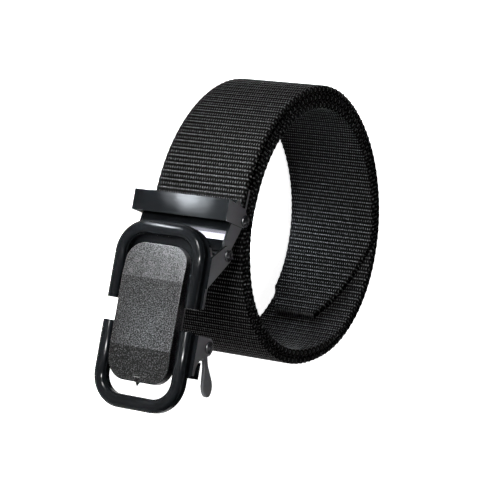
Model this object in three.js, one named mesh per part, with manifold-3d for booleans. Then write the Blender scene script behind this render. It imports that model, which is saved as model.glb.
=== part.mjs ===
// A ratchet belt: woven strap wound into a coil, with a hinged automatic buckle at its outer end.
// The coil lies on its side, so its winding axis is +Z and the strap's lower edge rests at z = 0.
// The buckle's front faces -Y, and its length runs along +X, away from the strap's clamp.
// Profiles are drawn in X and "out", the distance in front of the coil's axis, so y is always -out.
import * as THREE from "three";
import { mergeVertices } from "three/addons/utils/BufferGeometryUtils.js";
import Module from "manifold-3d";

const wasm = await Module();
wasm.setup();

// Driving dimensions, in millimetres and degrees.

// Strap and coil
const strapWidth = 38.2;
const strapThickness = 2.6;
const coilRadius = 56.2;
const layerGap = 0.35;
const coilTurns = 2.615;
const clampDent = 2.4;
const coilRise = 0.5;
const tipBevelLength = 37;
const tipBevelWidth = 14;
const tipCornerCut = 6;
const selvageChamfer = 0.4;

// Sheet metal, running gaps and pins
const cheekSheet = 0.8;
const linkSheet = 1.0;
const backSheet = 1.1;
const bodySheet = 1.2;
const gap = 0.3;
const pinRadius = 1.0;
const camPinRadius = 1.2;
const pinHeadRadius = 2.25;
const pinHeadHeight = 1.0;

// Clamp and keeper loop
const keeperPinX = 4.0;
const linkLength = 15.2;
const linkLean = 28.8;
const linkLug = 2.2;
const clampGrip = 9.5;
const jawGrip = 4.7;
const jawHeight = 2.8;
const jawSlope = 0.25;
const jawLength = 11.7;
const keeperReach = 12.1;
const keeperBar = 7.6;
const keeperSheet = 1.1;
const keeperOverhang = 6.0;
const cheekHeel = 4.4;

// Buckle
const plateRise = 8.2;
const plateInset = 4.4;
const frameOverhang = 7.95;
const frameLength = 67.0;
const frameBar = 4.9;
const frameDepth = 3.9;
const frameCorner = 12.0;
const upperLeg = 28.9;
const lowerLeg = 30.1;
const faceInset = 8.1;
const faceLowerGap = 5.0;
const faceSideGap = 1.1;
const faceDepth = 4.5;
const faceCorner = 7.0;
const faceUpperFacet = 12.3;
const faceLowerFacet = 12.2;
const faceFacetDrop = 1.5;
const studLength = 1.6;
const studRadius = 1.8;
const earLug = 3.4;
const earFoot = 13.2;
const earInset = 1.1;
const camSetback = 3.5;
const camRise = 2.1;
const camRadius = 3.2;
const camNose = 1.9;
const leverReach = 14.7;
const leverLean = 24;
const leverSheet = 1.3;
const leverNeck = 2.2;
const paddleWidth = 5.8;
const paddleLength = 8.4;
const paddleTaper = 7.2;
const lipDepth = 4.0;

// How finely round shapes are cut, and how close two points are to count as one
const roundSides = 16;
const arcSteps = 8;
const sectionStep = 10;
const studSides = 12;
const weldDistance = 1e-4;
const straightness = 1e-6;

// Places worked out from the sizes above
const halfStrap = strapWidth / 2;
const keeperHalf = halfStrap + gap + cheekSheet;
const middleZ = keeperHalf;
const linkHalf = halfStrap;
const strapDrop = middleZ - halfStrap;
const strapInner = coilRadius - strapThickness;
const rad = THREE.MathUtils.degToRad;
const keeperPin = new THREE.Vector2(keeperPinX, coilRadius - strapThickness / 2);
const centre = new THREE.Vector2();
const hingePin = new THREE.Vector2(linkLength, 0).rotateAround(centre, rad(linkLean)).add(keeperPin);
const bodyBack = hingePin.y + plateRise;
const bodyFront = bodyBack + bodySheet;
const frameBack = bodyFront + gap;
const frameTop = hingePin.x - frameOverhang;
const frameBottom = frameTop + frameLength;
const frameHalf = halfStrap - gap;
const faceTop = frameTop + faceInset;
const faceBottom = frameBottom - frameBar - faceLowerGap;
const faceWidth = 2 * (frameHalf - frameBar - faceSideGap);
const lowerPlateStart = frameBottom - lowerLeg + 2 * gap;
const camPin = new THREE.Vector2(lowerPlateStart + camSetback, hingePin.y + camRise);
const strapEnd = keeperPin.x - linkLug - gap;

// Finishes
function finish(color, roughness, metalness) {
  return new THREE.MeshStandardMaterial({ color, roughness, metalness });
}
const nylon = finish(0x101012, 0.85, 0.0);
const gloss = finish(0x1a1a1d, 0.12, 0.9);
const frosted = finish(0x55565a, 0.55, 0.8);
const steel = finish(0x8c8d92, 0.3, 1.0);

const belt = new THREE.Group();

function addPiece(name, geometry, material) {
  const mesh = new THREE.Mesh(geometry, material);
  mesh.name = name;
  belt.add(mesh);
}

// Solids as manifolds, so that they can be joined and cut.
function toSolid(geometry) {
  const bare = geometry.index ? geometry.toNonIndexed() : geometry.clone();
  bare.deleteAttribute("normal");
  bare.deleteAttribute("uv");
  const merged = mergeVertices(bare, weldDistance);
  const vertProperties = merged.attributes.position.array;
  const triVerts = new Uint32Array(merged.index.array);
  return new wasm.Manifold(new wasm.Mesh({ numProp: 3, vertProperties, triVerts }));
}

function toGeometry(solid) {
  const mesh = solid.getMesh();
  const geometry = new THREE.BufferGeometry();
  geometry.setAttribute("position", new THREE.BufferAttribute(mesh.vertProperties, 3));
  geometry.setIndex(new THREE.BufferAttribute(mesh.triVerts, 1));
  return geometry;
}

const join = (solids) => solids.reduce((whole, solid) => whole.add(solid));

// Extrudes a profile drawn in X and out along Z, between two distances from the belt's middle plane.
function alongZ(points, from, to) {
  const shape = new THREE.Shape(points.map((p) => new THREE.Vector2(p.x, -p.y)));
  const geometry = new THREE.ExtrudeGeometry(shape, { depth: to - from, bevelEnabled: false });
  return toSolid(geometry.translate(0, 0, middleZ + from));
}

// Extrudes a shape drawn in X and Z, with Z measured from the middle plane, from one "out" to another.
function alongOut(shape, from, to) {
  const options = { depth: to - from, bevelEnabled: false, curveSegments: arcSteps };
  const geometry = new THREE.ExtrudeGeometry(shape, options);
  return toSolid(geometry.rotateX(Math.PI / 2).translate(0, -from, middleZ));
}

function ring(centre, radius) {
  return Array.from({ length: roundSides }, (_, i) => {
    const turn = (2 * Math.PI * (i + 0.5)) / roundSides;
    return new THREE.Vector2(centre.x + radius * Math.cos(turn), centre.y + radius * Math.sin(turn));
  });
}

const rod = (centre, radius, from, to) => alongZ(ring(centre, radius), from, to);

// The hole that leaves a pin its running gap, cut right through the belt's width.
const bore = (centre, radius) => rod(centre, radius + gap, -keeperHalf - gap, keeperHalf + gap);

// The convex outline round a set of points.
function hull(points) {
  const sorted = [...points].sort((a, b) => a.x - b.x || a.y - b.y);
  const cross = (o, a, b) => (a.x - o.x) * (b.y - o.y) - (a.y - o.y) * (b.x - o.x);
  const half = (list) => {
    const chain = [];
    for (const p of list) {
      while (chain.length > 1 && cross(chain.at(-2), chain.at(-1), p) <= straightness) chain.pop();
      chain.push(p);
    }
    return chain.slice(0, -1);
  };
  return [...half(sorted), ...half(sorted.reverse())];
}

// The rounded rectangle from x0 to x1, with the corner radius of each end.
function roundedPlate(x0, x1, halfWidth, cornerStart, cornerEnd) {
  const shape = new THREE.Shape();
  const left = x0 + cornerStart;
  const right = x1 - cornerEnd;
  shape.moveTo(left, -halfWidth);
  shape.lineTo(right, -halfWidth);
  if (cornerEnd) shape.absarc(right, -halfWidth + cornerEnd, cornerEnd, -Math.PI / 2, 0);
  else shape.lineTo(x1, -halfWidth);
  shape.lineTo(x1, halfWidth - cornerEnd);
  if (cornerEnd) shape.absarc(right, halfWidth - cornerEnd, cornerEnd, 0, Math.PI / 2);
  shape.lineTo(left, halfWidth);
  if (cornerStart) shape.absarc(left, halfWidth - cornerStart, cornerStart, Math.PI / 2, Math.PI);
  else shape.lineTo(x0, halfWidth);
  shape.lineTo(x0, -halfWidth + cornerStart);
  if (cornerStart) shape.absarc(left, -halfWidth + cornerStart, cornerStart, Math.PI, Math.PI * 1.5);
  return shape;
}

// A closed solid through rings of points, all with the same number of points, capped at both ends.
function loft(rings) {
  const around = rings[0].length;
  const positions = rings.flat().flatMap((p) => [p.x, p.y, p.z]);
  const index = [];
  for (let r = 0; r + 1 < rings.length; r++) {
    for (let i = 0; i < around; i++) {
      const a = r * around + i;
      const b = r * around + ((i + 1) % around);
      index.push(a, b, b + around, a, b + around, a + around);
    }
  }
  const last = (rings.length - 1) * around;
  for (let i = 1; i + 1 < around; i++) {
    index.push(0, i + 1, i);
    index.push(last, last + i, last + i + 1);
  }
  const geometry = new THREE.BufferGeometry();
  geometry.setAttribute("position", new THREE.Float32BufferAttribute(positions, 3));
  geometry.setIndex(index);
  return geometry;
}

// Strap. Its outer face leaves the clamp straight, then winds round the coil. The first turn's shape
// is a table of the outer radius as a share of coilRadius. Later turns lie one layer further in each,
// and rise a little.
const coilShape = [
  { turn: 0, share: 1.0 },
  { turn: 45, share: 0.994 },
  { turn: 90, share: 0.996 },
  { turn: 120, share: 0.969 },
  { turn: 145, share: 0.965 },
  { turn: 175, share: 0.984 },
  { turn: 200, share: 0.996 },
  { turn: 225, share: 0.98 },
  { turn: 255, share: 0.943 },
  { turn: 295, share: 0.955 },
  { turn: 330, share: 0.985 },
];
const dentReach = 60;
const dropFrom = 18;
const dropOver = 90;
const riseFrom = 180;

function coilShare(turn) {
  const t = turn % 360;
  const count = coilShape.length;
  const i = coilShape.findLastIndex((row) => row.turn <= t);
  const row = (k) => {
    const wraps = Math.floor(k / count);
    const { turn: at, share } = coilShape[k - wraps * count];
    return { at: at + 360 * wraps, share };
  };
  const [p0, p1, p2, p3] = [row(i - 1), row(i), row(i + 1), row(i + 2)];
  const u = (t - p1.at) / (p2.at - p1.at);
  const slope1 = ((p2.share - p0.share) / (p2.at - p0.at)) * (p2.at - p1.at);
  const slope2 = ((p3.share - p1.share) / (p3.at - p1.at)) * (p2.at - p1.at);
  const rise = p2.share - p1.share;
  const squared = 3 * rise - 2 * slope1 - slope2;
  const cubed = slope1 + slope2 - 2 * rise;
  return p1.share + u * slope1 + u ** 2 * squared + u ** 3 * cubed;
}

function outerRadius(turn) {
  const layers = (turn / 360) * (strapThickness + layerGap);
  const nearest = Math.round(turn / 360) * 360;
  const away = Math.min(Math.abs(turn - nearest) / dentReach, 1);
  const dent = nearest > 0 ? clampDent * Math.cos((away * Math.PI) / 2) ** 2 : 0;
  return coilRadius * coilShare(turn) - layers - dent;
}

// One cross-section: from the inner face to the outer face, between the two edges.
function strapSection(inner, outer, low, high) {
  const c = selvageChamfer;
  const corners = [
    [0, low + c], [c, low], [strapThickness - c, low], [strapThickness, low + c],
    [strapThickness, high - c], [strapThickness - c, high], [c, high], [0, high - c],
  ];
  return corners.map(([depth, z]) => inner.clone().lerp(outer, depth / strapThickness).setZ(z));
}

function strapRings() {
  const rings = [];
  const straight = (x) => strapSection(
    new THREE.Vector3(x, -strapInner, 0),
    new THREE.Vector3(x, -coilRadius, 0),
    strapDrop,
    strapDrop + strapWidth,
  );
  rings.push(straight(strapEnd));
  const lastTurn = coilTurns * 360;
  const steps = Math.ceil(lastTurn / sectionStep);
  for (let i = 0; i <= steps; i++) {
    const turn = Math.min(i * sectionStep, lastTurn);
    const angle = rad(turn);
    const radius = outerRadius(turn);
    const at = (r) => new THREE.Vector3(-r * Math.sin(angle), -r * Math.cos(angle), 0);
    const drop = strapDrop * (1 - THREE.MathUtils.smoothstep(turn, dropFrom, dropFrom + dropOver));
    const low = drop + (coilRise * Math.max(0, turn - riseFrom)) / 360;
    const left = rad(lastTurn - turn) * (radius - strapThickness);
    const bevel = tipBevelWidth * Math.max(0, 1 - left / tipBevelLength);
    const corner = tipCornerCut * Math.max(0, 1 - left / (tipCornerCut * 2));
    const high = low + strapWidth - bevel;
    rings.push(strapSection(at(radius - strapThickness), at(radius), low + corner, high));
  }
  return rings;
}
addPiece("webbing_strap", loft(strapRings()), nylon);

// Clamp. Its section is one outline: a back plate behind the strap's end, a jaw block in front of it,
// and a ramp that runs on between the link walls to the hinge pin.
const gripBack = strapInner - gap;
const gripFront = coilRadius + gap;
const jawStart = keeperPin.x - linkLug - jawGrip;
const jawFront = (x) => gripFront + jawHeight + jawSlope * (x - jawStart);
const jawEnd = jawStart + jawLength;
const rampEnd = hingePin.x - pinRadius - 2 * gap;
const rampRise = hingePin.y - pinRadius - gap - backSheet;
const slotEnd = strapEnd + gap;
const gripEdge = slotEnd - clampGrip;
const gripSag = coilRadius - Math.sqrt(coilRadius ** 2 - gripEdge ** 2) + gap / 2;
const clampOutline = [
  [gripEdge, gripBack - backSheet - gripSag],
  [slotEnd + gap, gripBack - backSheet],
  [rampEnd, rampRise - backSheet],
  [rampEnd, rampRise],
  [jawEnd + jawSlope * jawHeight, gripBack + backSheet + jawHeight],
  [jawEnd, jawFront(jawEnd)],
  [jawStart, jawFront(jawStart)],
  [jawStart, gripFront],
  [slotEnd, gripFront],
  [slotEnd, gripBack],
  [gripEdge, gripBack - gripSag],
].map(([x, out]) => new THREE.Vector2(x, out));
const linkWall = hull([
  ...ring(keeperPin, linkLug),
  ...ring(hingePin, linkLug),
  new THREE.Vector2(keeperPin.x + linkLug, jawFront(keeperPin.x + linkLug)),
  new THREE.Vector2(jawEnd + linkLug, jawFront(jawEnd + linkLug)),
]);
const clampSolid = join([
  alongZ(clampOutline, linkSheet / 2 - linkHalf, linkHalf - linkSheet / 2),
  alongZ(linkWall, -linkHalf, linkSheet - linkHalf),
  alongZ(linkWall, linkHalf - linkSheet, linkHalf),
])
  .subtract(bore(keeperPin, pinRadius))
  .subtract(bore(hingePin, pinRadius));
addPiece("clamp_body", toGeometry(clampSolid), steel);

// Keeper loop: a flat bar across the strap with a cheek folded back at each end to the keeper pin.
const keeperFront = keeperPin.y + keeperReach;
const keeperStart = keeperPin.x - keeperOverhang;
const cheek = hull([
  ...ring(keeperPin, linkLug + gap),
  new THREE.Vector2(keeperStart, keeperFront),
  new THREE.Vector2(keeperStart + keeperBar, keeperFront),
  new THREE.Vector2(keeperPin.x - cheekHeel, keeperPin.y + 2 * gap),
]);
const bar = [
  [keeperStart, keeperFront - keeperSheet],
  [keeperStart + keeperBar, keeperFront - keeperSheet],
  [keeperStart + keeperBar, keeperFront],
  [keeperStart, keeperFront],
].map(([x, out]) => new THREE.Vector2(x, out));
const keeperSolid = join([
  alongZ(bar, -keeperHalf, keeperHalf),
  alongZ(cheek, -keeperHalf, cheekSheet - keeperHalf),
  alongZ(cheek, keeperHalf - cheekSheet, keeperHalf),
]).subtract(bore(keeperPin, pinRadius));
addPiece("keeper_loop", toGeometry(keeperSolid), gloss);

// Buckle body: an upper and a lower plate under the frames, joined by a narrow waist under the face
// plate, with an ear folded back on each side of both. A lip and two walls at the lower end guide
// the strap's free end.
const earSheet = cheekSheet;
const bodyHalf = keeperHalf - earSheet + gap;
const waistHalf = faceWidth / 2 - 2 * gap;
const upperPlateEnd = frameTop + upperLeg - 2 * gap;
const lowerPlateEnd = faceBottom - plateInset;
const upperEar = hull([
  ...ring(hingePin, earLug),
  new THREE.Vector2(hingePin.x + linkLug, bodyFront),
  new THREE.Vector2(hingePin.x + earFoot, bodyFront),
]);
const lowerEarEnd = lowerPlateEnd - earInset;
const earHeelTurn = 27;
const overlap = 1.0;

function lowerEar() {
  const shape = new THREE.Shape();
  shape.moveTo(lowerPlateStart, -bodyFront);
  shape.lineTo(camPin.x - earLug, -(camPin.y - gap));
  shape.absarc(camPin.x, -camPin.y, earLug, Math.PI, rad(earHeelTurn), true);
  shape.quadraticCurveTo(camPin.x + earLug + gap, -bodyBack + gap, lowerEarEnd, -bodyBack);
  shape.lineTo(lowerEarEnd, -bodyFront);
  shape.closePath();
  return shape.getPoints(arcSteps).map((p) => new THREE.Vector2(p.x, -p.y));
}
const lip = [
  [lowerPlateEnd - bodySheet, bodyBack - lipDepth],
  [lowerPlateEnd, bodyBack - lipDepth],
  [lowerPlateEnd, bodyFront],
  [lowerPlateEnd - bodySheet, bodyFront],
].map(([x, out]) => new THREE.Vector2(x, out));
const guideStart = camPin.x + camRadius + camNose + 2 * gap;
const guideWall = [
  [guideStart, bodyBack - lipDepth],
  [lowerPlateEnd, bodyBack - lipDepth],
  [lowerPlateEnd, bodyFront],
  [guideStart, bodyFront],
].map(([x, out]) => new THREE.Vector2(x, out));
const earPlates = [upperEar, lowerEar()].flatMap((outline) => [
  alongZ(outline, -keeperHalf, earSheet - keeperHalf),
  alongZ(outline, keeperHalf - earSheet, keeperHalf),
]);
const bodyPlates = [
  roundedPlate(frameTop + 2 * gap, upperPlateEnd, bodyHalf, frameCorner - 2 * gap, 0),
  roundedPlate(lowerPlateStart, lowerPlateEnd, bodyHalf, 0, 0),
  roundedPlate(upperPlateEnd - overlap, lowerPlateStart + overlap, waistHalf, 0, 0),
].map((outline) => alongOut(outline, bodyBack, bodyFront));
const guide = [
  alongZ(lip, -bodyHalf, bodyHalf),
  alongZ(guideWall, -bodyHalf, bodySheet - bodyHalf),
  alongZ(guideWall, bodyHalf - bodySheet, bodyHalf),
];
const bodySolid = join([...bodyPlates, ...guide, ...earPlates])
  .subtract(bore(hingePin, pinRadius))
  .subtract(bore(camPin, camPinRadius));
addPiece("buckle_body", toGeometry(bodySolid), steel);

// Frames: domed bars bent into a U, swept along the middle line of the bar.
const frameFlat = 0.6;

function frameSection() {
  const flat = frameDepth * frameFlat;
  const dome = frameDepth - flat;
  const points = [new THREE.Vector2(-frameBar / 2, 0), new THREE.Vector2(frameBar / 2, 0)];
  for (let i = 0; i <= arcSteps; i++) {
    const turn = (Math.PI * i) / arcSteps;
    points.push(new THREE.Vector2((frameBar / 2) * Math.cos(turn), flat + dome * Math.sin(turn)));
  }
  return points.reverse();
}

// The U's closed end is at endX. It opens towards +X when direction is 1, and towards -X when it is -1.
function frameRings(endX, legLength, direction) {
  const lineRadius = frameCorner - frameBar / 2;
  const lineHalf = frameHalf - frameBar / 2;
  const path = [{ along: legLength, across: lineHalf, turn: 0 }];
  for (let i = 0; i <= arcSteps; i++) {
    const turn = (Math.PI / 2) * (i / arcSteps);
    path.push({
      along: frameCorner - lineRadius * Math.sin(turn),
      across: lineHalf - lineRadius + lineRadius * Math.cos(turn),
      turn,
    });
  }
  const mirrored = path.map(({ along, across, turn }) => ({ along, across: -across, turn: Math.PI - turn }));
  return [...path, ...mirrored.reverse()].map(({ along, across, turn }) =>
    frameSection().map(({ x: aside, y: depth }) => new THREE.Vector3(
      endX + direction * (along - aside * Math.sin(turn)),
      -(frameBack + depth),
      middleZ + direction * (across + aside * Math.cos(turn)),
    )));
}
addPiece("upper_frame", loft(frameRings(frameTop, upperLeg, 1)), gloss);
addPiece("lower_frame", loft(frameRings(frameBottom, lowerLeg, -1)), gloss);

// Face plate: a rounded plate whose front is three flat facets, with a pointed stud below.
const faceFront = frameBack + faceDepth;
const facetOutline = [
  [faceTop - gap, frameBack],
  [faceBottom + gap, frameBack],
  [faceBottom + gap, faceFront - faceFacetDrop],
  [faceBottom - faceLowerFacet, faceFront],
  [faceTop + faceUpperFacet, faceFront],
  [faceTop - gap, faceFront - faceFacetDrop],
].map(([x, out]) => new THREE.Vector2(x, out));
const stud = new THREE.ConeGeometry(studRadius, studRadius + studLength, studSides)
  .rotateZ(-Math.PI / 2)
  .translate(faceBottom + (studLength - studRadius) / 2, -(frameBack + studRadius + gap), middleZ);
const faceOutline = roundedPlate(faceTop, faceBottom, faceWidth / 2, faceCorner, faceCorner);
const faceSolid = alongOut(faceOutline, frameBack, faceFront)
  .intersect(alongZ(facetOutline, -faceWidth, faceWidth))
  .add(toSolid(stud));
addPiece("face_plate", toGeometry(faceSolid), frosted);

// Cam lever: a cam bar across the buckle on the cam pin, and a release arm inside the near ear that
// ends in a teardrop paddle.
const camHalf = keeperHalf - earSheet - gap;
const alongLever = (x, y) => new THREE.Vector2(x, y).rotateAround(centre, -rad(leverLean)).add(camPin);
const camOutline = hull([
  ...ring(camPin, camRadius),
  new THREE.Vector2(camPin.x - camRadius / 2, camPin.y + camRadius + camNose),
  new THREE.Vector2(camPin.x + camRadius + camNose, camPin.y - camRadius / 2),
]);

const unitRing = ring(centre, 1);
const arm = hull([...ring(camPin, leverNeck / 2), ...ring(alongLever(leverReach, 0), leverNeck / 2)]);
const paddle = hull([
  ...unitRing.map((p) => alongLever(leverReach + (p.x * paddleLength) / 2, (p.y * paddleWidth) / 2)),
  ...ring(alongLever(leverReach - paddleTaper, 0), leverNeck / 2),
]);
const camSolid = join([
  alongZ(camOutline, -camHalf, camHalf),
  alongZ(arm, camHalf - leverSheet, camHalf),
  alongZ(paddle, camHalf - leverSheet, camHalf),
]).subtract(bore(camPin, camPinRadius));
addPiece("cam_lever", toGeometry(camSolid), steel);

// Pins: plain rods that end flush at the lower side and have a round head on the upper side.
function pin(name, centre, radius) {
  const headAt = keeperHalf + gap;
  const solid = join([
    rod(centre, radius, -keeperHalf, headAt + pinHeadHeight / 2),
    rod(centre, pinHeadRadius, headAt, headAt + pinHeadHeight),
  ]);
  addPiece(name, toGeometry(solid), steel);
}
pin("keeper_pin", keeperPin, pinRadius);
pin("hinge_pin", hingePin, pinRadius);
pin("cam_pin", camPin, camPinRadius);

// The origin is the middle of the belt's box, on the surface that it rests on.
const box = new THREE.Box3().setFromObject(belt);
const boxMiddle = box.getCenter(new THREE.Vector3());
belt.position.set(-boxMiddle.x, -boxMiddle.y, -box.min.z);

export default belt;
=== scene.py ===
# A rolled ratchet belt: black woven strap, glossy frames and a frosted face plate, lying on its side.
import math

import bmesh
import bpy
import numpy as np
from mathutils import Matrix, Vector


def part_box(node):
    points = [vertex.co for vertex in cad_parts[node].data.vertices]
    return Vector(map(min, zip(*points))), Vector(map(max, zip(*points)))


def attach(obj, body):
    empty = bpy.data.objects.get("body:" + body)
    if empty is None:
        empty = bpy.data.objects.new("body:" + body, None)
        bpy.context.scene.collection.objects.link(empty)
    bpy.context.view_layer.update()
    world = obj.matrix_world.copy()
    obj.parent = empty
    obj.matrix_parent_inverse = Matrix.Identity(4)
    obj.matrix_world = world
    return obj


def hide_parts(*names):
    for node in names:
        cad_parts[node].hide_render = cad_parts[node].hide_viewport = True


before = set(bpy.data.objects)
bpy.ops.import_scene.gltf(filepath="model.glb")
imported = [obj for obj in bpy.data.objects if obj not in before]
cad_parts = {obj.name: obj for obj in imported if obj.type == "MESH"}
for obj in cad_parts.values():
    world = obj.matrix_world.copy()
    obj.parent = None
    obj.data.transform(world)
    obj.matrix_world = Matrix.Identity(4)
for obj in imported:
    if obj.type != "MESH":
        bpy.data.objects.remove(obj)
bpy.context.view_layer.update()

MM = 0.001

# Camera. It looks down at the belt's front and turns on its side, so that the coil seems to stand.
# A long lens keeps the coil's two ends nearly the same size.
CAMERA_AZIMUTH = math.radians(4.06)
CAMERA_ELEVATION = math.radians(31.4)
CAMERA_ROLL = math.radians(-97.66)
CAMERA_TARGET = Vector((-2.7, -2.9, 15.1)) * MM
CAMERA_DISTANCE = 753 * MM
CAMERA_LENS = 148.8
CAMERA_NEAR, CAMERA_FAR = 0.01, 50

back = Vector((
    math.sin(CAMERA_AZIMUTH) * math.cos(CAMERA_ELEVATION),
    -math.cos(CAMERA_AZIMUTH) * math.cos(CAMERA_ELEVATION),
    math.sin(CAMERA_ELEVATION),
))
level_right = Vector((0, 0, 1)).cross(back).normalized()
level_up = back.cross(level_right)
camera_up = level_up * math.cos(CAMERA_ROLL) + level_right * math.sin(CAMERA_ROLL)
camera_right = camera_up.cross(back)
camera = bpy.data.objects.new("camera", bpy.data.cameras.new("camera"))
camera.data.lens = CAMERA_LENS
camera.data.clip_start = CAMERA_NEAR
camera.data.clip_end = CAMERA_FAR
camera.matrix_world = Matrix.Translation(CAMERA_TARGET + back * CAMERA_DISTANCE) @ Matrix(
    (camera_right, camera_up, back)).transposed().to_4x4()
bpy.context.scene.collection.objects.link(camera)
bpy.context.scene.camera = camera

# Floor. A plain white sweep that the belt lies on, wide enough to fill every view. It glows a little,
# so that it stays white where no light falls and the glossy parts mirror it evenly.
FLOOR_HALF = 6.0
FLOOR_WHITE = 0.93
FLOOR_ROUGHNESS = 0.9
FLOOR_GLOW = 0.95

floor_mesh = bpy.data.meshes.new("floor")
sheet = bmesh.new()
bmesh.ops.create_grid(sheet, x_segments=1, y_segments=1, size=FLOOR_HALF)
sheet.to_mesh(floor_mesh)
sheet.free()
floor = bpy.data.objects.new("floor", floor_mesh)
bpy.context.scene.collection.objects.link(floor)
floor_paint = bpy.data.materials.new("floor_white")
floor_paint.use_nodes = True
floor_shader = floor_paint.node_tree.nodes["Principled BSDF"]
floor_shader.inputs["Base Color"].default_value = (FLOOR_WHITE, FLOOR_WHITE, FLOOR_WHITE, 1)
floor_shader.inputs["Roughness"].default_value = FLOOR_ROUGHNESS
floor_shader.inputs["Emission Color"].default_value = (1, 1, 1, 1)
floor_shader.inputs["Emission Strength"].default_value = FLOOR_GLOW
floor.data.materials.append(floor_paint)

# Studio light. A soft key stands low in front, beyond the keeper end, a wide box hangs above and behind,
# and a small strip in front draws the lines on the upper frame. Narrow spots brighten the white floor
# where the keeper and the face plate mirror it, and inside the coil.
LIGHTS = (
    {"name": "key_box", "at": (-0.42, -1.0, 0.06), "wide": 0.24, "tall": 0.1, "power": 38},
    {"name": "top_box", "at": (0.28, 0.35, 1.1), "wide": 0.6, "tall": 0.6, "power": 6.5},
    {"name": "frame_strip", "at": (-0.035, -0.45, 0.14), "wide": 0.02, "tall": 0.12, "power": 6.5},
)
FLOOR_SPOTS = (
    {"name": "keeper_pool_low", "aim": (-0.0185, -0.08, 0.0), "radius": 0.008, "power": 3600},
    {"name": "keeper_pool_middle", "aim": (-0.0185, -0.09, 0.0), "radius": 0.0072, "power": 17000},
    {"name": "keeper_pool_high", "aim": (-0.0185, -0.1, 0.0), "radius": 0.007, "power": 8000},
    {"name": "plate_pool", "aim": (0.0, -0.104, 0.0), "radius": 0.011, "power": 140},
    {"name": "facet_pool", "aim": (0.038, -0.1, 0.0), "radius": 0.012, "power": 620},
    {"name": "coil_pool", "aim": (-0.01, 0.042, 0.0), "radius": 0.016, "power": 2000},
)
SPOT_HEIGHT = 1.2
COOL_WHITE = (0.88, 0.94, 1.0)
SURROUND = 0.06

for row in LIGHTS:
    lamp = bpy.data.lights.new(row["name"], "AREA")
    lamp.shape = "RECTANGLE"
    lamp.size = row["wide"]
    lamp.size_y = row["tall"]
    lamp.energy = row["power"]
    light = bpy.data.objects.new(row["name"], lamp)
    light.location = row["at"]
    light.rotation_euler = (Vector(row["at"]) - CAMERA_TARGET).to_track_quat("Z", "Y").to_euler()
    bpy.context.scene.collection.objects.link(light)
for row in FLOOR_SPOTS:
    lamp = bpy.data.lights.new(row["name"], "SPOT")
    lamp.spot_size = 2 * math.atan(row["radius"] / SPOT_HEIGHT)
    lamp.spot_blend = 1.0
    lamp.energy = row["power"]
    lamp.color = COOL_WHITE
    lamp.shadow_soft_size = 0.0
    light = bpy.data.objects.new(row["name"], lamp)
    light.location = Vector(row["aim"]) + Vector((0, 0, SPOT_HEIGHT))
    bpy.context.scene.collection.objects.link(light)
world = bpy.data.worlds.new("surround")
world.use_nodes = True
world.node_tree.nodes["Background"].inputs["Color"].default_value = (1, 1, 1, 1)
world.node_tree.nodes["Background"].inputs["Strength"].default_value = SURROUND
bpy.context.scene.world = world
bpy.context.scene.view_settings.view_transform = "Standard"

# Strap. A single length of thick black nylon webbing, woven with one heavy weft rib and one row of
# small floats in turn. The clamp bites its fixed end, and from there it is rolled up, with a slanted
# tip. Its sizes are in millimetres and degrees.
STRAP_WIDTH = 38.2
STRAP_THICKNESS = 2.6
COIL_RADIUS = 56.2
LAYER_PITCH = 2.95
COIL_TURNS = 2.615
STRAIGHT_START = 1.5
CLAMP_DENT = 2.4
DENT_REACH = 60
EDGE_DROP = 1.1
DROP_FROM, DROP_OVER = 18, 90
COIL_RISE, RISE_FROM = 0.5, 180
TIP_BEVEL_LENGTH, TIP_BEVEL_WIDTH, TIP_CORNER = 37, 14, 6
RIB_PITCH = 3.1
WARP_PITCH = 1.0
KEEPER_PIN_X = 4.0
COIL_SHAPE = (
    {"turn": 0, "share": 1.0},
    {"turn": 45, "share": 0.994},
    {"turn": 90, "share": 0.996},
    {"turn": 120, "share": 0.969},
    {"turn": 145, "share": 0.965},
    {"turn": 175, "share": 0.984},
    {"turn": 200, "share": 0.996},
    {"turn": 225, "share": 0.98},
    {"turn": 255, "share": 0.943},
    {"turn": 295, "share": 0.955},
    {"turn": 330, "share": 0.985},
)
RIB_HEIGHTS = np.array((0.16, -0.18, 0.02, -0.18))
RIB_ROWS = len(RIB_HEIGHTS)
RIM_ROUNDING = 1.1
RIM_FLAT = 0.3
RIM_NOTCH = 0.18
RIM_BEAD = 0.12
ROW_CROWDING = 0.8 * math.pi / 2
TANGENT_STEP = 1.0
PATH_POINTS = 2000
WIDTH_STEPS = 30

pin_low, pin_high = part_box("keeper_pin")
PIN_FROM_AXIS = Vector((KEEPER_PIN_X, STRAP_THICKNESS / 2 - COIL_RADIUS)) * MM
COIL_AXIS = (pin_low.xy + pin_high.xy) / 2 - PIN_FROM_AXIS


def coil_share(turn):
    """The coil's outline over one turn, as a share of its radius, smoothed between the table's rows."""
    rows = [(r["turn"], r["share"]) for r in COIL_SHAPE]
    rows = [(t - 360, s) for t, s in rows[-2:]] + rows + [(t + 360, s) for t, s in rows[:2]]
    at, share = np.array(rows).T
    turn = np.asarray(turn) % 360
    i = np.clip(np.searchsorted(at, turn, side="right") - 1, 1, len(at) - 3)
    span = at[i + 1] - at[i]
    u = (turn - at[i]) / span
    slope_a = (share[i + 1] - share[i - 1]) / (at[i + 1] - at[i - 1]) * span
    slope_b = (share[i + 2] - share[i]) / (at[i + 2] - at[i]) * span
    rise = share[i + 1] - share[i]
    square = 3 * rise - 2 * slope_a - slope_b
    cube = slope_a + slope_b - 2 * rise
    return share[i] + u * slope_a + u**2 * square + u**3 * cube


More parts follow.
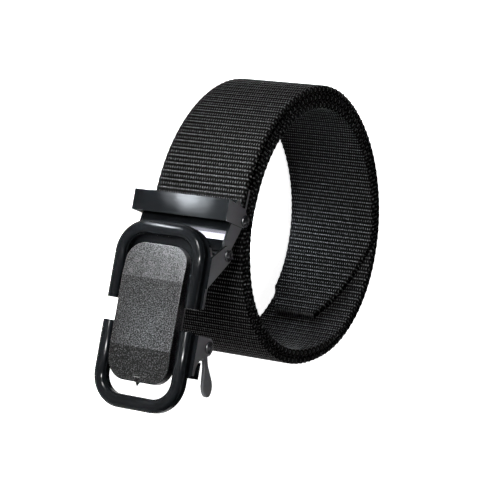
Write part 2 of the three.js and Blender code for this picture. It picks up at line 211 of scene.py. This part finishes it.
def outer_radius(turn):
    """The strap's outer face: each turn lies a layer further in, and dips behind the clamp."""
    nearest = np.round(turn / 360) * 360
    away = np.minimum(np.abs(turn - nearest) / DENT_REACH, 1)
    dent = np.where(nearest > 0, CLAMP_DENT * np.cos(away * math.pi / 2) ** 2, 0)
    return COIL_RADIUS * coil_share(turn) - turn / 360 * LAYER_PITCH - dent


turns = np.linspace(0, COIL_TURNS * 360, PATH_POINTS)
middle = outer_radius(turns) - STRAP_THICKNESS / 2
path_x = np.concatenate(([STRAIGHT_START], -middle * np.sin(np.radians(turns))))
path_y = np.concatenate(([-middle[0]], -middle * np.cos(np.radians(turns))))
path_turn = np.concatenate(([0], turns))
path_length = np.concatenate(([0], np.cumsum(np.hypot(np.diff(path_x), np.diff(path_y)))))
STRAP_LENGTH = path_length[-1]


def wind(length_along, across, side):
    """Where a point of the flat strap lies once rolled, and its place on the flat strap, in millimetres.

    across runs from -1 at the lower edge to 1 at the upper one, and side is -1 inside and 1 outside."""
    x = np.interp(length_along, path_length, path_x)
    y = np.interp(length_along, path_length, path_y)
    ahead, behind = length_along + TANGENT_STEP, length_along - TANGENT_STEP
    tangent_x = np.interp(ahead, path_length, path_x) - np.interp(behind, path_length, path_x)
    tangent_y = np.interp(ahead, path_length, path_y) - np.interp(behind, path_length, path_y)
    size = np.hypot(tangent_x, tangent_y)
    out_x, out_y = -tangent_y / size, tangent_x / size
    left = STRAP_LENGTH - length_along
    top = STRAP_WIDTH / 2 - TIP_BEVEL_WIDTH * np.clip(1 - left / TIP_BEVEL_LENGTH, 0, 1)
    low = -STRAP_WIDTH / 2 + TIP_CORNER * np.clip(1 - left / (2 * TIP_CORNER), 0, 1)
    spread = np.sin(across * ROW_CROWDING) / math.sin(ROW_CROWDING)
    z = low + (top - low) * (spread + 1) / 2
    rib = RIB_HEIGHTS[np.round(length_along / (RIB_PITCH / RIB_ROWS)).astype(int) % RIB_ROWS]
    to_edge = np.clip(np.minimum(top - z, z - low) / RIM_ROUNDING, 0, 1)
    bead = 0.5 + 0.5 * np.cos(2 * math.pi * length_along / RIB_PITCH)
    round_off = RIM_FLAT + (1 - RIM_FLAT) * np.sqrt(np.clip(1 - (1 - to_edge) ** 2, 0, 1))
    notch = 1 - RIM_NOTCH * (1 - to_edge) * (1 - bead)
    depth = (STRAP_THICKNESS / 2 + rib) * round_off * notch
    x = x + out_x * side * depth
    y = y + out_y * side * depth
    turn = np.interp(length_along, path_length, path_turn)
    u = np.clip((turn - DROP_FROM) / DROP_OVER, 0, 1)
    drop = EDGE_DROP * (1 - u * u * (3 - 2 * u))
    climb = COIL_RISE * np.clip(turn - RISE_FROM, 0, None) / 360
    edge_bead = RIM_BEAD * (1 - to_edge) * (bead - 1) * np.sign(across)
    return x, y, STRAP_WIDTH / 2 + drop + climb + z + edge_bead, z


LENGTH_STEPS = int(round(STRAP_LENGTH / (RIB_PITCH / RIB_ROWS)))
web = bmesh.new()
bmesh.ops.create_grid(web, x_segments=LENGTH_STEPS, y_segments=WIDTH_STEPS, size=1)
bmesh.ops.translate(web, verts=web.verts, vec=(0, 0, -1))
doubled = bmesh.ops.extrude_face_region(web, geom=web.faces[:], use_keep_orig=True)
outer_side = [v for v in doubled["geom"] if isinstance(v, bmesh.types.BMVert)]
bmesh.ops.translate(web, verts=outer_side, vec=(0, 0, 2))
flat = np.array([v.co for v in web.verts])
flat_length = (flat[:, 0] + 1) / 2 * STRAP_LENGTH
wound_x, wound_y, wound_z, flat_across = wind(flat_length, flat[:, 1], flat[:, 2])
web_map = web.loops.layers.uv.new("flat_strap")
for face in web.faces:
    for loop in face.loops:
        i = loop.vert.index
        loop[web_map].uv = (flat_length[i] * MM, flat_across[i] * MM)
    face.smooth = True
for vert, x, y, z in zip(web.verts, wound_x, wound_y, wound_z):
    vert.co = (COIL_AXIS.x + x * MM, COIL_AXIS.y + y * MM, z * MM)
bmesh.ops.recalc_face_normals(web, faces=web.faces)
strap_mesh = bpy.data.meshes.new("woven_strap")
web.to_mesh(strap_mesh)
web.free()
woven_strap = bpy.data.objects.new("woven_strap", strap_mesh)
bpy.context.scene.collection.objects.link(woven_strap)


def math_node(tree, operation, *values):
    """A math node fed by sockets or numbers, whose result is returned."""
    node = tree.nodes.new("ShaderNodeMath")
    node.operation = operation
    for socket, value in zip(node.inputs, values):
        if isinstance(value, bpy.types.NodeSocket):
            tree.links.new(value, socket)
        else:
            socket.default_value = value
    return node.outputs[0]


def ramp_node(tree, factor, stops):
    """A colour ramp with a list of (place, grey or colour) stops."""
    node = tree.nodes.new("ShaderNodeValToRGB")
    while len(node.color_ramp.elements) < len(stops):
        node.color_ramp.elements.new(1)
    for element, (place, colour) in zip(node.color_ramp.elements, stops):
        element.position = place
        element.color = (*colour, 1) if isinstance(colour, tuple) else (colour, colour, colour, 1)
    tree.links.new(factor, node.inputs["Fac"])
    return node.outputs["Color"]


def noise_node(tree, vector, scale, detail=2.0):
    """Soft noise at a number of grains to a metre."""
    node = tree.nodes.new("ShaderNodeTexNoise")
    node.inputs["Scale"].default_value = scale
    node.inputs["Detail"].default_value = detail
    tree.links.new(vector, node.inputs["Vector"])
    return node.outputs["Fac"]


def bump_node(tree, height, distance):
    """A bump whose heights from 0 to 1 stand for a distance in metres."""
    node = tree.nodes.new("ShaderNodeBump")
    node.inputs["Distance"].default_value = distance
    tree.links.new(height, node.inputs["Height"])
    return node.outputs["Normal"]


def waves(tree, place, pitch, shift=0.0):
    """A smooth wave from 0 to 1 along a length in metres, with its crest at 0."""
    turn = math_node(tree, "MULTIPLY_ADD", place, 2 * math.pi / pitch, shift)
    return math_node(tree, "MULTIPLY_ADD", math_node(tree, "COSINE", turn), 0.5, 0.5)


BIG_RIB_POWER, SMALL_RIB_POWER = 3.0, 2.0
CREST_POWER, SPOT_POWER, FLOAT_POWER = 9.0, 4.0, 2.0
CORD_DIP, CREST_DIP = 0.6, 0.55
DOT_HEIGHT = 0.85
FUZZ_SCALE, FUZZ_DETAIL, FUZZ_HEIGHT = 2600.0, 3.0, 0.25
GLINT_SCALE = 700.0
WEAVE_DEPTH = 0.4 * MM
GLINT_TONES = [(0.35, 0.6), (0.65, 1.0)]
SELVAGE_GLINT_FADE = [(0.94, 1.0), (0.99, 0.9)]
THREAD_AND_PAINTED_GLINT_TONES = [(0.0, 0.001), (0.25, 0.0022), (1.0, (0.034, 0.034, 0.035))]
THREAD_ROUGHNESS = [(0.0, 0.75), (1.0, 0.32)]
THREAD_SHEEN = [(0.1, 0.0), (1.0, 0.16)]

nylon = bpy.data.materials.new("black_nylon_web")
nylon.use_nodes = True
tree = nylon.node_tree
shader = tree.nodes["Principled BSDF"]
uv = tree.nodes.new("ShaderNodeUVMap")
uv.uv_map = "flat_strap"
split = tree.nodes.new("ShaderNodeSeparateXYZ")
tree.links.new(uv.outputs["UV"], split.inputs["Vector"])
along, over = split.outputs["X"], split.outputs["Y"]
on_rib = waves(tree, along, RIB_PITCH * MM)
off_rib = waves(tree, along, RIB_PITCH * MM, math.pi)
big_rib = math_node(tree, "POWER", on_rib, BIG_RIB_POWER)
small_rib = math_node(tree, "POWER", off_rib, SMALL_RIB_POWER)
floats = waves(tree, over, WARP_PITCH * MM)
between = waves(tree, over, WARP_PITCH * MM, math.pi)
dots = math_node(tree, "MULTIPLY", small_rib, floats)
cord_share = math_node(tree, "MULTIPLY_ADD", between, CORD_DIP, 1 - CORD_DIP)
cords = math_node(tree, "MULTIPLY", big_rib, cord_share)
weave = math_node(tree, "ADD", math_node(tree, "MULTIPLY", dots, DOT_HEIGHT), cords)
fuzz = noise_node(tree, uv.outputs["UV"], FUZZ_SCALE, FUZZ_DETAIL)
height = math_node(tree, "MULTIPLY_ADD", fuzz, FUZZ_HEIGHT, weave)
crest_share = math_node(tree, "MULTIPLY_ADD", between, CREST_DIP, 1 - CREST_DIP)
crest = math_node(tree, "MULTIPLY", math_node(tree, "POWER", on_rib, CREST_POWER), crest_share)
spot_share = math_node(tree, "POWER", floats, FLOAT_POWER)
spot = math_node(tree, "MULTIPLY", math_node(tree, "POWER", off_rib, SPOT_POWER), spot_share)
glints = ramp_node(tree, noise_node(tree, uv.outputs["UV"], GLINT_SCALE), GLINT_TONES)
# Painted glints: the rib crests and float spots, varied by noise and faded near the selvages, are painted
# lighter in the base colour as painted highlights over the threads' own black.
lit = math_node(tree, "MULTIPLY", math_node(tree, "ADD", crest, spot), glints)
from_middle = math_node(tree, "ABSOLUTE", math_node(tree, "DIVIDE", over, STRAP_WIDTH / 2 * MM))
lit = math_node(tree, "MULTIPLY", lit, ramp_node(tree, from_middle, SELVAGE_GLINT_FADE))
tree.links.new(ramp_node(tree, lit, THREAD_AND_PAINTED_GLINT_TONES), shader.inputs["Base Color"])
tree.links.new(ramp_node(tree, lit, THREAD_ROUGHNESS), shader.inputs["Roughness"])
tree.links.new(ramp_node(tree, lit, THREAD_SHEEN), shader.inputs["Specular IOR Level"])
tree.links.new(bump_node(tree, height, WEAVE_DEPTH), shader.inputs["Normal"])
woven_strap.data.materials.append(nylon)
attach(woven_strap, "strap_and_clamp")
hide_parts("webbing_strap")

# Frames. Two U-shaped bars of die-cast alloy with a rounded front, plated glossy black, held on the
# front of the buckle's sheet body so that they ring the face plate.
FRAME_BAR = 4.9 * MM
FRAME_CORNER = 12 * MM
FRAME_WALL = 0.6
FRAME_LEDGE = 0.25 * MM
DOME_STEPS = 20
CORNER_STEPS = 24
END_ROUNDING = 0.2 * MM
END_SEGMENTS = 2
SAME_POINT = 1e-7
SMOOTH_ANGLE = math.radians(32)
CLOUD_SCALE, GRAIN_SCALE, MARK_DETAIL = 120.0, 2500.0, 3.0
CLOUD_LOW, CLOUD_HIGH = 0.3, 0.7
TONE_LOW, TONE_HIGH = 0.8, 1.2
ROUGHNESS_LOW, ROUGHNESS_HIGH = 0.8, 1.25
U_FRAMES = (
    {"node": "upper_frame", "name": "upper_u_frame", "closed_low": True},
    {"node": "lower_frame", "name": "lower_u_frame", "closed_low": False},
)


def handling_marks():
    """The group of faint marks that every hard finish carries: a cloudy tone and a fine uneven height."""
    group = bpy.data.node_groups.new("handling_marks", "ShaderNodeTree")
    group.interface.new_socket("Place", in_out="INPUT", socket_type="NodeSocketVector")
    group.interface.new_socket("Cloud", in_out="OUTPUT", socket_type="NodeSocketFloat")
    group.interface.new_socket("Grain", in_out="OUTPUT", socket_type="NodeSocketFloat")
    entry = group.nodes.new("NodeGroupInput")
    leave = group.nodes.new("NodeGroupOutput")
    for mark, scale in (("Cloud", CLOUD_SCALE), ("Grain", GRAIN_SCALE)):
        noise = noise_node(group, entry.outputs["Place"], scale, MARK_DETAIL)
        group.links.new(noise, leave.inputs[mark])
    return group


MARKS = handling_marks()


def hard_finish(name, base, roughness, metallic, specular, grain_height):
    """A plated or painted metal, with a cloudy tone and roughness and a fine grain in its surface."""
    material = bpy.data.materials.new(name)
    material.use_nodes = True
    tree = material.node_tree
    shader = tree.nodes["Principled BSDF"]
    marks = tree.nodes.new("ShaderNodeGroup")
    marks.node_tree = MARKS
    tree.links.new(tree.nodes.new("ShaderNodeTexCoord").outputs["Object"], marks.inputs["Place"])
    tones = [
        (CLOUD_LOW, tuple(TONE_LOW * channel for channel in base)),
        (CLOUD_HIGH, tuple(TONE_HIGH * channel for channel in base)),
    ]
    sheens = [(CLOUD_LOW, roughness * ROUGHNESS_LOW), (CLOUD_HIGH, roughness * ROUGHNESS_HIGH)]
    tree.links.new(ramp_node(tree, marks.outputs["Cloud"], tones), shader.inputs["Base Color"])
    tree.links.new(ramp_node(tree, marks.outputs["Cloud"], sheens), shader.inputs["Roughness"])
    tree.links.new(bump_node(tree, marks.outputs["Grain"], grain_height), shader.inputs["Normal"])
    shader.inputs["Metallic"].default_value = metallic
    shader.inputs["Specular IOR Level"].default_value = specular
    return material


def finished(shape, name, material):
    """Turns a finished shape into a smooth-shaded piece with its sharp edges kept."""
    for face in shape.faces:
        face.smooth = True
    mesh = bpy.data.meshes.new(name)
    shape.to_mesh(mesh)
    shape.free()
    mesh.set_sharp_from_angle(angle=SMOOTH_ANGLE)
    mesh.materials.append(material)
    piece = bpy.data.objects.new(name, mesh)
    bpy.context.scene.collection.objects.link(piece)
    return piece


def bar_section(depth):
    """The bar's section as (aside, rise) points: flat walls, a small ledge and a domed front."""
    half = FRAME_BAR / 2
    wall = depth * FRAME_WALL
    section = [(half, 0.0), (half, wall), (half - FRAME_LEDGE, wall + FRAME_LEDGE)]
    dome_half, dome_rise = half - FRAME_LEDGE, depth - wall - FRAME_LEDGE
    for i in range(1, DOME_STEPS):
        turn = math.pi * i / DOME_STEPS
        section.append((dome_half * math.cos(turn), wall + FRAME_LEDGE + dome_rise * math.sin(turn)))
    return section + [(FRAME_LEDGE - half, wall + FRAME_LEDGE), (-half, wall), (-half, 0.0)]


def u_frame(node, name, closed_low):
    """A U-shaped bar whose section is swept round the two corners, with its cut ends capped."""
    low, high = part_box(node)
    direction = 1 if closed_low else -1
    closed_x, open_x = (low.x, high.x) if closed_low else (high.x, low.x)
    section = bar_section(high.y - low.y)
    section_z = high.z - FRAME_BAR / 2
    bar = bmesh.new()
    first = [bar.verts.new((open_x, high.y - rise, section_z + aside)) for aside, rise in section]
    ring = first + [bar.edges.new((first[i], first[(i + 1) % len(first)])) for i in range(len(first))]

    def run(geom, step):
        edges = [g for g in geom if isinstance(g, bmesh.types.BMEdge)]
        grown = bmesh.ops.extrude_edge_only(bar, edges=edges)["geom"]
        moved = [g for g in grown if isinstance(g, bmesh.types.BMVert)]
        bmesh.ops.translate(bar, verts=moved, vec=step)
        new_edges = [g for g in grown if isinstance(g, bmesh.types.BMEdge)]
        return moved + [edge for edge in new_edges if all(vert in moved for vert in edge.verts)]

    def bend(geom, centre_x, centre_z):
        return bmesh.ops.spin(
            bar, geom=geom, cent=(centre_x, 0, centre_z), axis=(0, 1, 0),
            angle=direction * -math.pi / 2, steps=CORNER_STEPS)["geom_last"]

    corner_x = closed_x + direction * FRAME_CORNER
    ring = run(ring, (corner_x - open_x, 0, 0))
    ring = bend(ring, corner_x, high.z - FRAME_CORNER)
    ring = run(ring, (0, 0, low.z - high.z + 2 * FRAME_CORNER))
    ring = bend(ring, corner_x, low.z + FRAME_CORNER)
    run(ring, (open_x - corner_x, 0, 0))
    bmesh.ops.remove_doubles(bar, verts=bar.verts, dist=SAME_POINT)
    caps = bmesh.ops.holes_fill(bar, edges=[e for e in bar.edges if e.is_boundary], sides=0)["faces"]
    rims = list({edge for face in caps for edge in face.edges})
    bmesh.ops.recalc_face_normals(bar, faces=bar.faces)
    bmesh.ops.bevel(
        bar, geom=rims, offset=END_ROUNDING, segments=END_SEGMENTS, profile=0.5, affect="EDGES",
        material=-1)
    return finished(bar, name, gloss_black)


gloss_black = hard_finish(
    "gloss_black_plating", base=(0.0012, 0.0014, 0.0016), roughness=0.12, metallic=0.0, specular=0.027,
    grain_height=0.002 * MM)
for row in U_FRAMES:
    piece = u_frame(row["node"], row["name"], row["closed_low"])
    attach(piece, "buckle")
    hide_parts(row["node"])

# Keeper loop. A strip of polished sheet metal folded into a wide U, hung on the keeper pin in front
# of the strap, so that the belt's free end is held flat behind it.
EDGE_SEGMENTS = 3
SAME_CORNER = 1e-6
FLAT_JOINT = math.radians(1)
FLAT_SIDE = 0.9


def dressed_copy(node, name, body, material, edge):
    """The node's own shape with its edges rounded, as a piece that stands for it."""
    solid = bmesh.new()
    solid.from_mesh(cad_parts[node].data)
    bmesh.ops.remove_doubles(solid, verts=solid.verts, dist=SAME_CORNER)
    bmesh.ops.dissolve_limit(solid, angle_limit=FLAT_JOINT, verts=solid.verts, edges=solid.edges)
    piece = finished(solid, name, material)
    rounding = piece.modifiers.new("rounded_edges", "BEVEL")
    rounding.width = edge
    rounding.segments = EDGE_SEGMENTS
    rounding.limit_method = "ANGLE"
    rounding.angle_limit = SMOOTH_ANGLE
    rounding.harden_normals = True
    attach(piece, body)
    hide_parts(node)
    return piece


satin_slate = hard_finish(
    "satin_slate_plating", base=(0.036, 0.036, 0.039), roughness=0.38, metallic=0.2, specular=0.5,
    grain_height=0.01 * MM)
keeper = dressed_copy(
    "keeper_loop", "keeper_strip", "keeper", gloss_black, edge=0.3 * MM)
keeper.data.materials.append(satin_slate)
for face in keeper.data.polygons:
    face.material_index = int(abs(face.normal.z) > FLAT_SIDE)

# Clamp. Die-cast block and link walls that bite the strap's cut end. The block's front is glossy black,
# the link walls are satin, and a bare polished ramp lies between them behind the block's lower edge.
# The ramp's base colour is painted light and bluish as a painted reflection of the white surround.
RAMP_AREA = 200 * MM**2
RAMP_LENGTH = 2.3 * MM
SAME_FACING = 0.999

# Bare steel with a painted reflection: a light, bluish base colour stands in for the white the ramp
# mirrors.
bare_steel_painted_reflection = hard_finish(
    "bare_steel_painted_reflection", base=(0.36, 0.36, 0.42), roughness=0.35, metallic=0.3, specular=0.5,
    grain_height=0.002 * MM)
clamp = dressed_copy(
    "clamp_body", "strap_clamp", "strap_and_clamp", gloss_black, edge=0.18 * MM)
clamp.data.materials.append(satin_slate)
clamp.data.materials.append(bare_steel_painted_reflection)
cut = bmesh.new()
cut.from_mesh(clamp.data)
broad_fronts = [f for f in cut.faces if f.calc_area() > RAMP_AREA and f.normal.y < 0]
ramp = min(broad_fronts, key=lambda f: f.normal.x)
ramp_end = min(v.co.x for v in ramp.verts) + RAMP_LENGTH
ramp_normal = ramp.normal.copy()
bmesh.ops.bisect_plane(
    cut, geom=[ramp, *ramp.verts, *ramp.edges], plane_co=(ramp_end, 0, 0), plane_no=(1, 0, 0))
for face in cut.faces:
    if abs(face.normal.z) > FLAT_SIDE:
        face.material_index = 1
    elif face.normal.dot(ramp_normal) > SAME_FACING and face.calc_center_median().x < ramp_end:
        face.material_index = 2
cut.to_mesh(clamp.data)
cut.free()

# Buckle body. Sheet metal pressed with four ears and a guide lip, which carries the frames and the
# plate. Its front is plated glossy black and its ears are satin like the clamp's link walls.
GUIDE_START = 38 * MM

pressed_body = dressed_copy(
    "buckle_body", "pressed_body", "buckle", gloss_black, edge=0.2 * MM)
pressed_body.data.materials.append(satin_slate)
guide_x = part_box("face_plate")[0].x + GUIDE_START
for face in pressed_body.data.polygons:
    face.material_index = int(abs(face.normal.z) > FLAT_SIDE and face.center.x < guide_x)

# Cam lever. A cast cam bar across the buckle behind its lower ears, with its arm and thumb paddle on
# the upper side, all in satin slate plating. It turns on the cam pin.
dressed_copy("cam_lever", "release_lever", "lever", satin_slate, edge=0.4 * MM)

# Face plate. A cast plate with three facets and a pointed stud under its lower edge, blasted to a fine
# sparkling grain and fixed to the front of the sheet body between the frames' legs.
GRIT_SCALE, FLAKE_SCALE = 2300.0, 3700.0
GRIT_SHARE = 0.5
FACET_PAINTED_SHADE_SLOPE, FACET_PAINTED_SHADE_OFFSET = -0.55, -0.04
GRAIN_AND_FACET_SHADE_TONES = [(0.38, 0.0007), (0.52, 0.004), (0.66, (0.026, 0.026, 0.028))]
GRAIN_ROUGHNESS = [(0.35, 0.42), (0.65, 0.3)]
GRAIN_AND_FACET_SHADE_SHEEN = [(0.38, 0.08), (0.66, 0.7)]
GRAIN_DEPTH = 0.012 * MM
PLATE_METALLIC = 0.4
FRONT_FACING = -0.9

frosted = bpy.data.materials.new("frosted_black")
frosted.use_nodes = True
tree = frosted.node_tree
shader = tree.nodes["Principled BSDF"]
source = tree.nodes.new("ShaderNodeTexCoord")
grit = noise_node(tree, source.outputs["Object"], GRIT_SCALE, 0.0)
flakes = noise_node(tree, source.outputs["Object"], FLAKE_SCALE, 0.0)
# Painted shade: each facet's tilt is added to the grain, so the upper facet's base colour and sheen are
# painted lighter and the lower facet's darker.
slope = tree.nodes.new("ShaderNodeSeparateXYZ")
tree.links.new(source.outputs["Normal"], slope.inputs["Vector"])
painted_facet_shade = math_node(tree, "MULTIPLY_ADD", slope.outputs["X"], FACET_PAINTED_SHADE_SLOPE, FACET_PAINTED_SHADE_OFFSET)
grain_and_painted_facet_shade = math_node(tree, "MULTIPLY_ADD", grit, GRIT_SHARE, painted_facet_shade)
grain_and_painted_facet_shade = math_node(tree, "MULTIPLY_ADD", flakes, 1 - GRIT_SHARE, grain_and_painted_facet_shade)
tree.links.new(ramp_node(tree, grain_and_painted_facet_shade, GRAIN_AND_FACET_SHADE_TONES), shader.inputs["Base Color"])
tree.links.new(ramp_node(tree, grit, GRAIN_ROUGHNESS), shader.inputs["Roughness"])
tree.links.new(ramp_node(tree, grain_and_painted_facet_shade, GRAIN_AND_FACET_SHADE_SHEEN), shader.inputs["Specular IOR Level"])
tree.links.new(bump_node(tree, grain_and_painted_facet_shade, GRAIN_DEPTH), shader.inputs["Normal"])
shader.inputs["Metallic"].default_value = PLATE_METALLIC
plate = dressed_copy("face_plate", "frosted_plate", "buckle", frosted, edge=0.45 * MM)
for face in plate.data.polygons:
    face.use_smooth = face.normal.y > FRONT_FACING

# Pins. Turned steel rivets, blackened, that pass through the strap's clamp and the ears of the moving
# pieces. Each upper head is domed inside a low rim, given here as shares of its radius and its height.
PIN_RINGS = 40
HEAD_HEIGHT = 1.0 * MM
TIP_CHAMFER = 0.15 * MM
TIP_SHARE = 0.9
HEAD_PROFILE = (
    {"out": 0.97, "down": 1.0},
    {"out": 1.0, "down": 0.9},
    {"out": 1.0, "down": 0.55},
    {"out": 0.96, "down": 0.4},
    {"out": 0.88, "down": 0.35},
    {"out": 0.8, "down": 0.42},
    {"out": 0.74, "down": 0.6},
    {"out": 0.66, "down": 0.45},
    {"out": 0.5, "down": 0.18},
    {"out": 0.3, "down": 0.03},
    {"out": 0.0, "down": 0.0},
)
PINS = (
    {"node": "keeper_pin", "name": "keeper_rivet", "body": "strap_and_clamp", "shank": 1.0 * MM},
    {"node": "hinge_pin", "name": "hinge_rivet", "body": "strap_and_clamp", "shank": 1.0 * MM},
    {"node": "cam_pin", "name": "cam_rivet", "body": "buckle", "shank": 1.2 * MM},
)

rivet_steel = hard_finish(
    "turned_steel", base=(0.005, 0.005, 0.006), roughness=0.25, metallic=0.1, specular=0.25,
    grain_height=0.004 * MM)
for row in PINS:
    low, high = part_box(row["node"])
    centre = (low + high) / 2
    head = (high.x - low.x) / 2
    shank = row["shank"]
    outline = [(0, low.z), (shank * TIP_SHARE, low.z), (shank, low.z + TIP_CHAMFER)]
    outline += [(shank, high.z - HEAD_HEIGHT)]
    outline += [(head * ring["out"], high.z - HEAD_HEIGHT * ring["down"]) for ring in HEAD_PROFILE]
    turned = bmesh.new()
    points = [turned.verts.new((centre.x + radius, centre.y, z)) for radius, z in outline]
    edges = [turned.edges.new(pair) for pair in zip(points, points[1:])]
    bmesh.ops.spin(
        turned, geom=points + edges, cent=centre, axis=(0, 0, 1), angle=2 * math.pi, steps=PIN_RINGS,
        use_merge=True)
    bmesh.ops.remove_doubles(turned, verts=turned.verts, dist=SAME_POINT)
    bmesh.ops.recalc_face_normals(turned, faces=turned.faces)
    rivet = finished(turned, row["name"], rivet_steel)
    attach(rivet, row["body"])
    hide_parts(row["node"])
